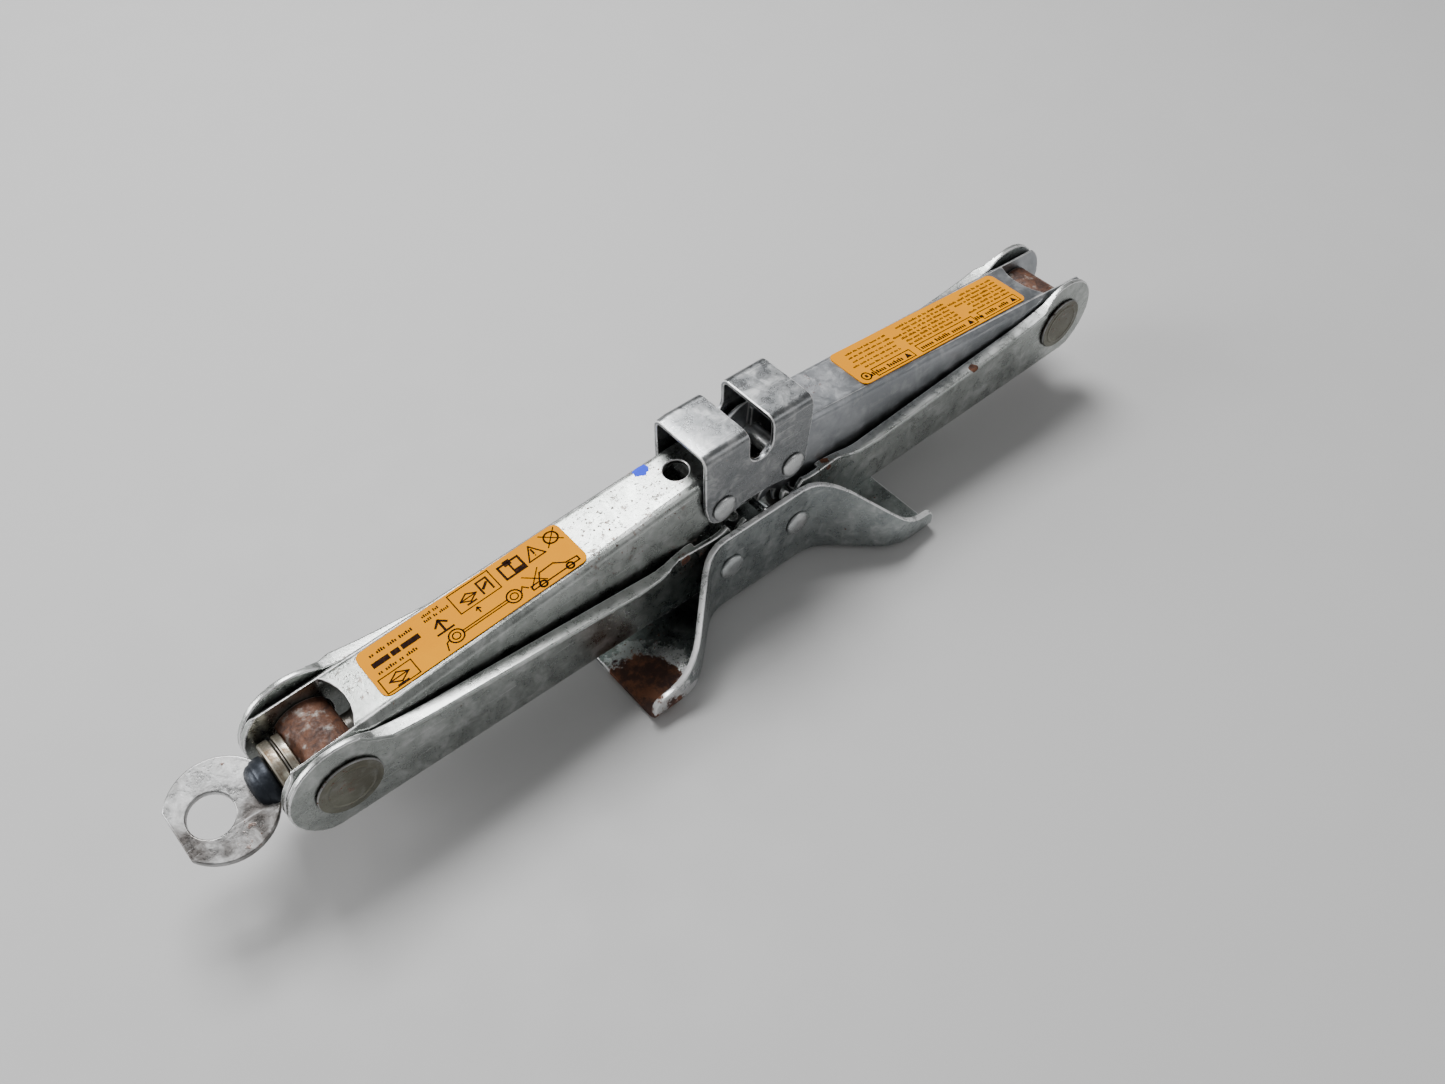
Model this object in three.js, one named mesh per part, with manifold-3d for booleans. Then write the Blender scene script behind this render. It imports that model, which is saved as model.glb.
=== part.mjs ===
// A collapsed scissor jack for a car: a base, four pressed steel arms, two trunnions, a drive
// screw with an eye, and a slotted saddle. Millimetres, +Z up. The origin is the middle of the
// base's underside, and +X runs along the screw from the drive eye to the nut.

import * as THREE from 'three';
import { mergeVertices } from 'three/addons/utils/BufferGeometryUtils.js';
import Module from 'manifold-3d';

const wasm = await Module();
wasm.setup();

// ---- Driving dimensions ----

const GAP = 0.3;
const PIN_SPACING = 35;
const TRUNNION_X = 180;
const BASE_PIN_Z = 25;
const SADDLE_PIN_Z = 55;
const SADDLE_TOP_Z = 85.3;
const ARM_SHEET = 2.2;
const BASE_SHEET = 2.6;
const SADDLE_SHEET = 1.8;
const LOWER_ARM_HALF_WIDTH = 17.2;
const LOWER_EAR_HALF_WIDTH = 17.9;
const UPPER_ARM_HALF_WIDTH = 12.2;
const UPPER_EAR_HALF_WIDTH = 15.2;
const EAR_RADIUS = 21;
const ARM_HEIGHT_ABOVE_PINS = 15.8;
const LIP_WIDTH = 3.5;
const LIP_THICKNESS = 2.4;
const FULL_GEAR_TEETH = 12;
const BASE_PIN_RADIUS = 4.5;
const SADDLE_PIN_RADIUS = 4;
const BARREL_RADIUS = 12;
const JOURNAL_RADIUS = 10.5;
const SCREW_RADIUS = 7;
const SHANK_RADIUS = 6;
const EYE_TILT = THREE.MathUtils.degToRad(14);

// ---- What follows from them ----

const PIN_X = PIN_SPACING / 2;
const TRUNNION_Z = (BASE_PIN_Z + SADDLE_PIN_Z) / 2;
const ARM_RUN = TRUNNION_X - PIN_X;
const ARM_RISE = TRUNNION_Z - BASE_PIN_Z;
const ARM_LENGTH = Math.hypot(ARM_RUN, ARM_RISE);
const REST_ANGLE = Math.atan2(ARM_RISE, ARM_RUN);
const PITCH_RADIUS = PIN_SPACING / 2;
const MODULE = PIN_SPACING / FULL_GEAR_TEETH;

// ---- Finishes ----

function finish(color, metalness, roughness) {
  return new THREE.MeshStandardMaterial({ color, metalness, roughness });
}

const ZINC = finish(0xaab0b0, 1, 0.38);
const BASE_ZINC = finish(0x8f989a, 1, 0.45);
const RIVET_STEEL = finish(0x9a9f98, 1, 0.42);
const RUSTY_STEEL = finish(0x6d4836, 0.6, 0.75);
const SCREW_STEEL = finish(0x77746c, 1, 0.5);
const WASHER_STEEL = finish(0xb3ab98, 1, 0.4);
const DARK_COLLAR = finish(0x2b3138, 0.8, 0.4);
const ORANGE_LABEL = finish(0xffae1e, 0, 0.5);

// ---- Solids from three.js geometry, joined and cut with manifold-3d ----

function toSolid(geometry) {
  const bare = geometry.clone();
  bare.deleteAttribute('normal');
  bare.deleteAttribute('uv');
  const merged = mergeVertices(bare, 1e-4);
  return new wasm.Manifold(new wasm.Mesh({
    numProp: 3,
    vertProperties: new Float32Array(merged.getAttribute('position').array),
    triVerts: new Uint32Array(merged.getIndex().array),
  }));
}

function toGeometry(solid) {
  const mesh = solid.getMesh();
  const geometry = new THREE.BufferGeometry();
  geometry.setAttribute('position', new THREE.Float32BufferAttribute(mesh.vertProperties, 3));
  geometry.setIndex(Array.from(mesh.triVerts));
  geometry.computeVertexNormals();
  return geometry;
}

function join(solids) {
  return solids.reduce((sum, solid) => sum.add(solid));
}

// Points on a circular arc, from angle a0 to a1 in degrees.
function arc(cx, cy, radius, a0, a1, steps = 8) {
  return Array.from({ length: steps + 1 }, (_, i) => {
    const angle = THREE.MathUtils.degToRad(a0 + ((a1 - a0) * i) / steps);
    return new THREE.Vector2(cx + radius * Math.cos(angle), cy + radius * Math.sin(angle));
  });
}

function point(x, y) {
  return new THREE.Vector2(x, y);
}

// Points of a smooth bend between two points, pulled towards a third.
function bend(from, towards, to, steps = 4) {
  return new THREE.QuadraticBezierCurve(from, towards, to).getPoints(steps);
}

function extrude(shape, depth) {
  return new THREE.ExtrudeGeometry(shape, { depth, bevelEnabled: false, curveSegments: 12 });
}

// A side view (x, z) extruded across the jack, from y0 to y1.
function across(outline, y0, y1) {
  const shape = new THREE.Shape(outline);
  return toSolid(extrude(shape, y1 - y0).rotateX(Math.PI / 2).translate(0, y1, 0));
}

// A plan view (x, y) extruded upwards, from z0 to z1.
function upwards(outline, z0, z1) {
  return toSolid(extrude(new THREE.Shape(outline), z1 - z0).translate(0, 0, z0));
}

// A cross-section (y, z) extruded along the jack, from x0 to x1.
const SECTION_AXES = new THREE.Matrix4().makeBasis(
  new THREE.Vector3(0, 1, 0), new THREE.Vector3(0, 0, 1), new THREE.Vector3(1, 0, 0));

function sectionGeometry(outline, x0, x1) {
  return extrude(new THREE.Shape(outline), x1 - x0).applyMatrix4(SECTION_AXES).translate(x0, 0, 0);
}

function lengthwise(outline, x0, x1) {
  return toSolid(sectionGeometry(outline, x0, x1));
}

function box(x0, x1, y0, y1, z0, z1) {
  const geometry = new THREE.BoxGeometry(x1 - x0, y1 - y0, z1 - z0);
  return toSolid(geometry.translate((x0 + x1) / 2, (y0 + y1) / 2, (z0 + z1) / 2));
}

// A round bar across the jack (along y), centred at (x, z).
function crossBar(radius, halfLength, x, z, sides = 24) {
  return toSolid(new THREE.CylinderGeometry(radius, radius, 2 * halfLength, sides).translate(x, 0, z));
}

// A round bar along x, from x0 to x1.
function longBar(radius, x0, x1, sides = 28) {
  const geometry = new THREE.CylinderGeometry(radius, radius, x1 - x0, sides).rotateZ(Math.PI / 2);
  return toSolid(geometry.translate((x0 + x1) / 2, 0, 0));
}

function uprightBar(radius, x, y, z0, z1, sides = 28) {
  const geometry = new THREE.CylinderGeometry(radius, radius, z1 - z0, sides).rotateX(Math.PI / 2);
  return toSolid(geometry.translate(x, y, (z0 + z1) / 2));
}

// A body of revolution about y, from its profile of [radius, height] pairs.
function turned(profile, sides = 28) {
  return new THREE.LatheGeometry(profile.map(([r, y]) => point(r, y)), sides);
}

// ---- Gear teeth at the inner ends of the arms ----

const PRESSURE_ANGLE = THREE.MathUtils.degToRad(25);
const BASE_CIRCLE = PITCH_RADIUS * Math.cos(PRESSURE_ANGLE);
const TIP_CIRCLE = PITCH_RADIUS + 0.9 * MODULE;
const ROOT_CIRCLE = PITCH_RADIUS - 1.1 * MODULE;
const BACKLASH = 0.6;
const TOOTH_PITCH = 360 / FULL_GEAR_TEETH;

function involute(angle) {
  return Math.tan(angle) - angle;
}

// Half of a tooth's angle, in degrees, at a radius from its pin.
function halfToothAngle(radius) {
  const atPitch = (Math.PI * MODULE / 2 - BACKLASH) / 2 / PITCH_RADIUS;
  const flank = radius > BASE_CIRCLE ? Math.acos(BASE_CIRCLE / radius) : 0;
  return THREE.MathUtils.radToDeg(atPitch + involute(PRESSURE_ANGLE) - involute(flank));
}

// A point at an angle measured from the direction of the other arm's pin, upwards.
function inwardPoint(radius, degrees) {
  const angle = Math.PI - THREE.MathUtils.degToRad(degrees);
  return point(radius * Math.cos(angle), radius * Math.sin(angle));
}

function toothOutline(centre, fromSide, toSide) {
  const flankRadii = [ROOT_CIRCLE, BASE_CIRCLE, PITCH_RADIUS, TIP_CIRCLE];
  const rising = flankRadii.map((r) => inwardPoint(r, centre - halfToothAngle(r)));
  const falling = flankRadii.map((r) => inwardPoint(r, centre + halfToothAngle(r))).reverse();
  return [...(fromSide ? rising : []), ...(toSide ? falling : [])];
}

// ---- The arms ----
// An arm is drawn with its inner pin at the origin and its trunnion at (ARM_LENGTH, 0). The open
// side of a lower arm faces up, and an upper arm is the same pressing upside down and narrower.

const WEB_LEVEL_AT_PIN = -11;
const WEB_LEVEL_AT_EAR = -EAR_RADIUS;
const HEM_TOP = 17.4;
const HEM_LENGTH = 29;
const HEM_TAPER = 10;
const HEM_DROP = [
  point(HEM_LENGTH - 5, HEM_TOP),
  point(HEM_LENGTH + 1, HEM_TOP),
  point(HEM_LENGTH + 7, ARM_HEIGHT_ABOVE_PINS),
];

const EAR_ARC = arc(ARM_LENGTH, 0, EAR_RADIUS, 120, -90, 18);

// The outline of a lower arm's side wall. firstTooth is the angle of its lowest tooth.
function armOutline(firstTooth, webAtPin, webAtEar, openEdge) {
  const slope = (webAtEar - webAtPin) / ARM_LENGTH;
  const teeth = [0, 1, 2].flatMap((i) => toothOutline(firstTooth + i * TOOTH_PITCH, true, true));
  const hemFlank = toothOutline(firstTooth + 3 * TOOTH_PITCH, true, false);
  const hemStart = hemFlank.at(-1);
  const heel = Math.abs(webAtPin);
  return [
    ...arc(0, 0, heel, -90 - THREE.MathUtils.radToDeg(slope), -160, 5),
    ...teeth,
    ...hemFlank.slice(0, -1),
    ...bend(hemStart, point(hemStart.x + 3, HEM_TOP), point(hemStart.x + 8, HEM_TOP)),
    ...bend(HEM_DROP[0], HEM_DROP[1], point(HEM_DROP[2].x, openEdge)),
    ...earBlend(openEdge),
    ...EAR_ARC,
    point(ARM_LENGTH - 6, webAtEar),
  ];
}

// The rounded bottom of the pressing: a section that the side outline is cut to.
function pressedSection(halfWidth, bottom, top, radius) {
  return [
    point(halfWidth, top),
    point(-halfWidth, top),
    ...arc(-halfWidth + radius, bottom + radius, radius, 180, 270, 3),
    ...arc(halfWidth - radius, bottom + radius, radius, 270, 360, 3),
  ];
}

// Tilts a solid made along x so that it follows a web that drops from the pin to the ear.
function alongWeb(outline, x0, x1, slope) {
  const geometry = sectionGeometry(outline, x0, x1);
  return toSolid(geometry.rotateY(-Math.atan(slope)));
}

// Spreads an arm's side walls from its half width at the pin to its half width at the trunnion.
function widen(geometry, atPin, atEar) {
  const position = geometry.getAttribute('position');
  for (let i = 0; i < position.count; i += 1) {
    const along = Math.min(position.getX(i), ARM_LENGTH) / ARM_LENGTH;
    const growth = 1 + (atEar / atPin - 1) * along;
    position.setY(i, position.getY(i) * growth);
  }
  geometry.computeVertexNormals();
  return geometry;
}

// The same solid on both walls: a function makes it between two positions across the arm.
function onBothWalls(inside, outside, make) {
  return join([make(inside, outside), make(-outside, -inside)]);
}

const WALL_BEND = 3.6;
const INSIDE_BEND = WALL_BEND - ARM_SHEET;
const EAR_BLEND_START = ARM_LENGTH - 36;
const EAR_BLEND_END = point(ARM_LENGTH - 11.5, 17.6);

function earBlend(openEdge) {
  return bend(point(EAR_BLEND_START, openEdge), point(ARM_LENGTH - 22, openEdge), EAR_BLEND_END);
}

// The lip turned outwards along the open edge of a lower arm. It comes out of the wall as the hem
// tapers away, and runs on to the top of the ear.
function edgeLips(halfWidth, openEdge) {
  const start = HEM_DROP[0].x;
  const top = [...bend(...HEM_DROP), ...earBlend(openEdge), ...EAR_ARC.slice(0, 3)];
  const underside = top.map((p) => point(p.x, p.y - LIP_THICKNESS)).reverse();
  const inside = halfWidth - ARM_SHEET / 2;
  const outside = halfWidth + LIP_WIDTH;
  const plan = [
    point(start, inside),
    point(EAR_ARC[2].x - 1, inside),
    point(ARM_LENGTH - 16, outside),
    point(start + 22, outside),
    point(start + 8, halfWidth + LIP_WIDTH * 0.6),
    point(start, halfWidth - 0.4),
  ];
  const mirrored = plan.map((p) => point(p.x, -p.y));
  const spread = join([upwards(plan, -40, 60), upwards(mirrored, -40, 60)]);
  return onBothWalls(inside, outside, (y0, y1) => across([...top, ...underside], y0, y1)).intersect(spread);
}

function armSolid({
  firstTooth, halfWidth, webAtPin, webAtEar, openEdge, boreRadius, webStart, cutCentre, cutRadius,
}) {
  const slope = (webAtEar - webAtPin) / ARM_LENGTH;
  const outline = armOutline(firstTooth, webAtPin, webAtEar, openEdge);
  const inner = halfWidth - ARM_SHEET;
  const far = ARM_LENGTH + 40;
  const outside = pressedSection(halfWidth, webAtPin, 40, WALL_BEND);
  const inside = pressedSection(inner, webAtPin + ARM_SHEET, 60, INSIDE_BEND);
  const body = across(outline, -halfWidth, halfWidth).intersect(alongWeb(outside, -40, far, slope));
  const hollow = alongWeb(inside, -60, far, slope);
  const endCut = join([box(cutCentre, far, -60, 60, -60, 60), uprightBar(cutRadius, cutCentre, 0, -60, 60)]);
  const openings = join([
    box(-40, webStart, -inner, inner, -60, 60),
    endCut.intersect(box(0, far, -inner, inner, -60, 60)),
    crossBar(boreRadius, 40, 0, 0),
    crossBar(JOURNAL_RADIUS + GAP, 40, ARM_LENGTH, 0),
  ]);
  const foldedIn = halfWidth - 2 * ARM_SHEET;
  const hemPlan = [
    point(-40, foldedIn),
    point(HEM_LENGTH - HEM_TAPER, foldedIn),
    point(HEM_LENGTH + 2, inner),
    point(HEM_LENGTH + 2, halfWidth),
    point(-40, halfWidth),
  ];
  const otherHemPlan = hemPlan.map((p) => point(p.x, -p.y));
  const hemSpace = join([upwards(hemPlan, -13, 40), upwards(otherHemPlan, -13, 40)]);
  const hems = onBothWalls(foldedIn, halfWidth - ARM_SHEET / 2, (y0, y1) => (
    across(outline, y0, y1).intersect(hemSpace)));
  return join([body.subtract(hollow), hems]).subtract(openings);
}

// Angles of the teeth in the arm's own frame: the direction of the other pin is tilted by the
// arm's rest angle. One arm of a pair has a tooth where the other has a gap.
const REST_DEGREES = THREE.MathUtils.radToDeg(REST_ANGLE);
const TOOTH_ON_CENTRE = REST_DEGREES;
const GAP_ON_CENTRE = REST_DEGREES + TOOTH_PITCH / 2;

function lowerArm(firstTooth) {
  const pressing = armSolid({
    firstTooth,
    halfWidth: LOWER_ARM_HALF_WIDTH,
    webAtPin: WEB_LEVEL_AT_PIN,
    webAtEar: WEB_LEVEL_AT_EAR,
    openEdge: ARM_HEIGHT_ABOVE_PINS,
    boreRadius: BASE_PIN_RADIUS + GAP,
    webStart: 16,
    cutCentre: ARM_LENGTH - 14,
    cutRadius: 12,
  });
  const solid = pressing.add(edgeLips(LOWER_ARM_HALF_WIDTH, ARM_HEIGHT_ABOVE_PINS));
  return widen(toGeometry(solid), LOWER_ARM_HALF_WIDTH, LOWER_EAR_HALF_WIDTH);
}

const UPPER_WEB_LEVEL = 16;
const WEB_HOLE_RADIUS = 4.9;
const WEB_HOLE_X = 9;
const UPPER_CUT_RADIUS = 14.6;

function upperArm(firstTooth) {
  const solid = armSolid({
    firstTooth,
    halfWidth: UPPER_ARM_HALF_WIDTH,
    webAtPin: -UPPER_WEB_LEVEL,
    webAtEar: -UPPER_WEB_LEVEL - 1.5,
    openEdge: 13,
    boreRadius: SADDLE_PIN_RADIUS + GAP,
    webStart: -2,
    cutCentre: ARM_LENGTH,
    cutRadius: UPPER_CUT_RADIUS,
  }).subtract(uprightBar(WEB_HOLE_RADIUS, WEB_HOLE_X, 0, -60, 0, 24));
  const geometry = widen(toGeometry(solid), UPPER_ARM_HALF_WIDTH, UPPER_EAR_HALF_WIDTH);
  return geometry.rotateX(Math.PI);
}

// ---- Base ----

const FLANGE_MIDDLE_Y = LOWER_ARM_HALF_WIDTH + GAP + BASE_SHEET / 2;
const FOOT_MIDDLE_Y = 43.2;
const FOOT_END_X = 75.5;
const FLANGE_TOP_Z = 42;

// A path with its corners rounded off.
function roundedPath(corners, radius) {
  const path = [corners[0]];
  for (let i = 1; i < corners.length - 1; i += 1) {
    const before = corners[i].clone().lerp(corners[i - 1], radius / corners[i].distanceTo(corners[i - 1]));
    const after = corners[i].clone().lerp(corners[i + 1], radius / corners[i].distanceTo(corners[i + 1]));
    path.push(...bend(before, corners[i], after, 4));
  }
  return [...path, corners.at(-1)];
}

// The path moved sideways by an offset, to its left where the offset is positive.
function offsetPath(path, offset) {
  return path.map((p, i) => {
    const along = path[Math.min(i + 1, path.length - 1)].clone().sub(path[Math.max(i - 1, 0)]).normalize();
    return point(p.x - along.y * offset, p.y + along.x * offset);
  });
}

function flangePath() {
  const halfPath = [
    point(28, -FLANGE_MIDDLE_Y),
    point(55, -FOOT_MIDDLE_Y),
    point(FOOT_END_X, -FOOT_MIDDLE_Y),
  ];
  const mirrored = halfPath.map((p) => point(-p.x, p.y)).reverse();
  return roundedPath([...mirrored, ...halfPath], 8);
}

function flangeSideView() {
  const right = [
    ...bend(point(20, FLANGE_TOP_Z), point(31, FLANGE_TOP_Z), point(39, 35.5), 5),
    ...bend(point(54, 21), point(62, 12.5), point(69, 12), 5),
    ...bend(point(70, 12), point(FOOT_END_X, 12), point(FOOT_END_X, 6)),
    point(FOOT_END_X, 0),
  ];
  const left = right.map((p) => point(-p.x, p.y)).reverse();
  return [...left, ...right];
}

function basePlate() {
  const path = flangePath();
  const outerEdge = offsetPath(path, -BASE_SHEET / 2);
  const innerEdge = offsetPath(path, BASE_SHEET / 2);
  const ribbon = upwards([...outerEdge, ...innerEdge.slice().reverse()], 0, FLANGE_TOP_Z);
  const nearFlange = ribbon.intersect(across(flangeSideView(), -60, 0));
  const farFlange = toSolid(toGeometry(nearFlange).rotateZ(Math.PI));
  const farEdge = outerEdge.map((p) => point(-p.x, -p.y));
  const floor = upwards([...outerEdge, ...farEdge], 0, BASE_SHEET);
  const bores = join([-PIN_X, PIN_X].map((x) => crossBar(BASE_PIN_RADIUS + GAP, 30, x, BASE_PIN_Z)));
  return toGeometry(join([floor, nearFlange, farFlange]).subtract(bores));
}

// ---- Saddle ----

const SADDLE_CLEARANCE = 1.2;
const SADDLE_HALF_WIDTH = UPPER_ARM_HALF_WIDTH + SADDLE_CLEARANCE + SADDLE_SHEET;
const SADDLE_LEFT_X = -26;
const SADDLE_RIGHT_X = 26.5;
const SADDLE_LIP_LENGTH = 4.5;
const SADDLE_SLOT_X = 0.8;
const SADDLE_SLOT_WIDTH = 11.6;
const SADDLE_SLOT_BOTTOM_Z = 69;
const SADDLE_PIN_EDGE = 7.5;

// The saddle's bent sheet, seen along the jack.
function saddleSection() {
  const outerRadius = 4;
  const innerRadius = outerRadius - SADDLE_SHEET;
  const inner = SADDLE_HALF_WIDTH - SADDLE_SHEET;
  const bottom = SADDLE_PIN_Z - 12;
  const top = SADDLE_TOP_Z;
  return [
    point(SADDLE_HALF_WIDTH, bottom),
    ...arc(SADDLE_HALF_WIDTH - outerRadius, top - outerRadius, outerRadius, 0, 90, 4),
    ...arc(-SADDLE_HALF_WIDTH + outerRadius, top - outerRadius, outerRadius, 90, 180, 4),
    point(-SADDLE_HALF_WIDTH, bottom),
    point(-inner, bottom),
    ...arc(-inner + innerRadius, top - outerRadius, innerRadius, 180, 90, 4),
    ...arc(inner - innerRadius, top - outerRadius, innerRadius, 90, 0, 4),
    point(inner, bottom),
  ];
}

function saddleSideView() {
  const between = SADDLE_PIN_Z - 4.5;
  return [
    point(SADDLE_LEFT_X, SADDLE_TOP_Z + 1),
    point(SADDLE_RIGHT_X, SADDLE_TOP_Z + 1),
    point(SADDLE_RIGHT_X, SADDLE_TOP_Z - 11),
    ...arc(PIN_X, SADDLE_PIN_Z, SADDLE_PIN_EDGE, 15, -125, 9),
    point(5, between),
    point(-5, between),
    ...arc(-PIN_X, SADDLE_PIN_Z, SADDLE_PIN_EDGE, -55, -170, 8),
    point(SADDLE_LEFT_X, SADDLE_PIN_Z + 4),
  ];
}

function saddle() {
  const lipStart = SADDLE_LEFT_X + SADDLE_LIP_LENGTH;
  const channel = lengthwise(saddleSection(), lipStart, SADDLE_RIGHT_X);
  const lipGeometry = sectionGeometry(saddleSection(), SADDLE_LEFT_X, lipStart);
  const position = lipGeometry.getAttribute('position');
  const lipDrop = 0.6;
  const lipSqueeze = 0.985;
  for (let i = 0; i < position.count; i += 1) {
    if (position.getX(i) < lipStart - GAP) {
      position.setY(i, position.getY(i) * lipSqueeze);
      position.setZ(i, position.getZ(i) - lipDrop);
    }
  }
  const slotRadius = SADDLE_SLOT_WIDTH / 2;
  const slot = across([
    ...arc(SADDLE_SLOT_X, SADDLE_SLOT_BOTTOM_Z + slotRadius, slotRadius, 180, 360, 12),
    point(SADDLE_SLOT_X + slotRadius, SADDLE_TOP_Z + 5),
    point(SADDLE_SLOT_X - slotRadius, SADDLE_TOP_Z + 5),
  ], -30, 30);
  const bores = join([-PIN_X, PIN_X].map((x) => crossBar(SADDLE_PIN_RADIUS + GAP, 30, x, SADDLE_PIN_Z)));
  const blank = join([channel, toSolid(lipGeometry)]).intersect(across(saddleSideView(), -30, 30));
  return toGeometry(blank.subtract(slot).subtract(bores));
}

// ---- Pins, trunnions, screw and what is on it ----

// A rivet pin: a shank through both walls, closed over into a low head on each side.
function rivetPin(shankRadius, headRadius, wallY, headHeight) {
  const seat = wallY + GAP;
  const half = [
    [shankRadius, seat],
    [headRadius, seat],
    [headRadius, seat + headHeight * 0.6],
    [headRadius - 0.8, seat + headHeight],
    [0, seat + headHeight],
  ];
  const mirrored = half.map(([r, y]) => [r, -y]).reverse();
  return turned([...mirrored, ...half]);
}

const TRUNNION_FACE = 9.2;
const EAR_SHEET = ARM_SHEET * (UPPER_EAR_HALF_WIDTH / UPPER_ARM_HALF_WIDTH);
const BARREL_HALF_LENGTH = UPPER_EAR_HALF_WIDTH - EAR_SHEET - GAP;

// A trunnion: a barrel between the ears with a journal through both ears on each side, riveted
// over outside, and a bore along x for the screw. It has a flat face towards each end of the jack.
function trunnion(boreRadius) {
  const headSeat = LOWER_EAR_HALF_WIDTH + GAP + 0.1;
  const half = [
    [JOURNAL_RADIUS, BARREL_HALF_LENGTH],
    [JOURNAL_RADIUS, headSeat],
    [BARREL_RADIUS, headSeat],
    [BARREL_RADIUS, headSeat + 0.7],
    [BARREL_RADIUS - 0.6, headSeat + 1.1],
    [0, headSeat + 1.1],
  ];
  const profile = [...half.map(([r, y]) => [r, -y]).reverse(), [BARREL_RADIUS, -BARREL_HALF_LENGTH],
    [BARREL_RADIUS, BARREL_HALF_LENGTH], ...half];
  const body = toSolid(turned(profile, 32));
  const flats = [-1, 1].map((side) => {
    const faces = [side * TRUNNION_FACE, side * 20].sort((a, b) => a - b);
    return box(...faces, -BARREL_HALF_LENGTH, BARREL_HALF_LENGTH, -20, 20);
  });
  return toGeometry(body.subtract(join([...flats, longBar(boreRadius, -30, 30)])));
}

// Stations along x of the pieces stacked on the screw's plain shank, outwards from the trunnion.
const WASHER_RADIUS = 12.1;
const INNER_WASHER_THICKNESS = 2.7;
const OUTER_WASHER_THICKNESS = 3.8;
const BEARING_THICKNESS = 0.6;
const INNER_WASHER_X = -TRUNNION_X - TRUNNION_FACE - GAP;
const BEARING_X = INNER_WASHER_X - INNER_WASHER_THICKNESS - GAP;
const OUTER_WASHER_X = BEARING_X - BEARING_THICKNESS - GAP;
const COLLAR_X = OUTER_WASHER_X - OUTER_WASHER_THICKNESS - GAP;
const COLLAR_LENGTH = 7.6;
const COLLAR_END_X = COLLAR_X - COLLAR_LENGTH;
const EYE_THICKNESS = 3;
const EYE_SLOT_HALF = EYE_THICKNESS / 2 + GAP;
const EYE_SLOT_X = COLLAR_X - 1.4;

function ring(outerRadius, xOuterFace, thickness) {
  const solid = longBar(outerRadius, xOuterFace - thickness, xOuterFace);
  return toGeometry(solid.subtract(longBar(SHANK_RADIUS + GAP, xOuterFace - 10, xOuterFace + 10)));
}

function screw() {
  const shoulderX = -TRUNNION_X + BARREL_RADIUS + 2;
  const endX = TRUNNION_X + TRUNNION_FACE + 1.8;
  const shank = longBar(SHANK_RADIUS, COLLAR_END_X + 1, shoulderX);
  const thread = toSolid(new THREE.LatheGeometry([
    point(0, shoulderX - 0.5),
    point(SHANK_RADIUS, shoulderX - 0.5),
    point(SCREW_RADIUS, shoulderX + 1),
    point(SCREW_RADIUS, endX - 1.5),
    point(SCREW_RADIUS - 1.5, endX),
    point(0, endX),
  ], 28).rotateZ(-Math.PI / 2));
  const eyeSlot = box(COLLAR_END_X - 10, EYE_SLOT_X + GAP, -30, 30, -EYE_SLOT_HALF, EYE_SLOT_HALF);
  return toGeometry(join([shank, thread]).subtract(eyeSlot));
}

function collar() {
  const radius = 8.8;
  const rim = point(radius - 2.8, COLLAR_END_X);
  const shoulder = bend(rim, point(radius - 0.2, COLLAR_END_X + 0.6), point(radius, COLLAR_END_X + 5), 5);
  const profile = [
    [0, COLLAR_END_X],
    ...shoulder.map((p) => [p.x, p.y]),
    [radius, COLLAR_X - 1],
    [radius - 0.8, COLLAR_X],
    [0, COLLAR_X],
  ];
  const body = toSolid(turned(profile).rotateZ(-Math.PI / 2));
  const bore = longBar(SHANK_RADIUS + GAP, COLLAR_END_X - 10, COLLAR_X + 10);
  const eyeSlot = box(COLLAR_END_X - 10, EYE_SLOT_X, -30, 30, -EYE_SLOT_HALF, EYE_SLOT_HALF);
  return toGeometry(body.subtract(bore).subtract(eyeSlot));
}

const EYE_CENTRE_X = -215.6;
const EYE_RADIUS = 17.9;
const EYE_HOLE_X = -219.3;
const EYE_HOLE_RADIUS = 7.6;
const EYE_FLAT_X = -230.8;

function eye() {
  const innerEnd = EYE_SLOT_X - GAP;
  const plate = uprightBar(EYE_RADIUS, EYE_CENTRE_X, 0, -EYE_THICKNESS / 2, EYE_THICKNESS / 2, 48)
    .intersect(box(EYE_FLAT_X, innerEnd, -30, 30, -5, 5));
  return toGeometry(plate.subtract(uprightBar(EYE_HOLE_RADIUS, EYE_HOLE_X, 0, -5, 5, 32)));
}

// ---- Labels ----

const LABEL_THICKNESS = 0.3;
const LABEL_LIFT = 0.1;

// A rounded rectangle that lies on an upper arm's web, from x0 to x1 along the arm.
function label(x0, x1, halfWidth) {
  const radius = 3;
  const outline = [
    ...arc(x1 - radius, halfWidth - radius, radius, 0, 90, 4),
    ...arc(x0 + radius, halfWidth - radius, radius, 90, 180, 4),
    ...arc(x0 + radius, -halfWidth + radius, radius, 180, 270, 4),
    ...arc(x1 - radius, -halfWidth + radius, radius, 270, 360, 4),
  ];
  const geometry = extrude(new THREE.Shape(outline), LABEL_THICKNESS);
  const webSlope = 1.5 / ARM_LENGTH;
  return geometry.translate(0, 0, UPPER_WEB_LEVEL + LABEL_LIFT).rotateY(-Math.atan(webSlope));
}

// ---- The assembly ----

const jack = new THREE.Group();

function place(parent, name, geometry, material, x = 0, y = 0, z = 0) {
  const mesh = new THREE.Mesh(geometry, material);
  mesh.name = name;
  mesh.position.set(x, y, z);
  parent.add(mesh);
  return mesh;
}

const baseWallY = FLANGE_MIDDLE_Y + BASE_SHEET / 2;
place(jack, 'base_plate', basePlate(), BASE_ZINC);
place(jack, 'saddle', saddle(), ZINC);

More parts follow.
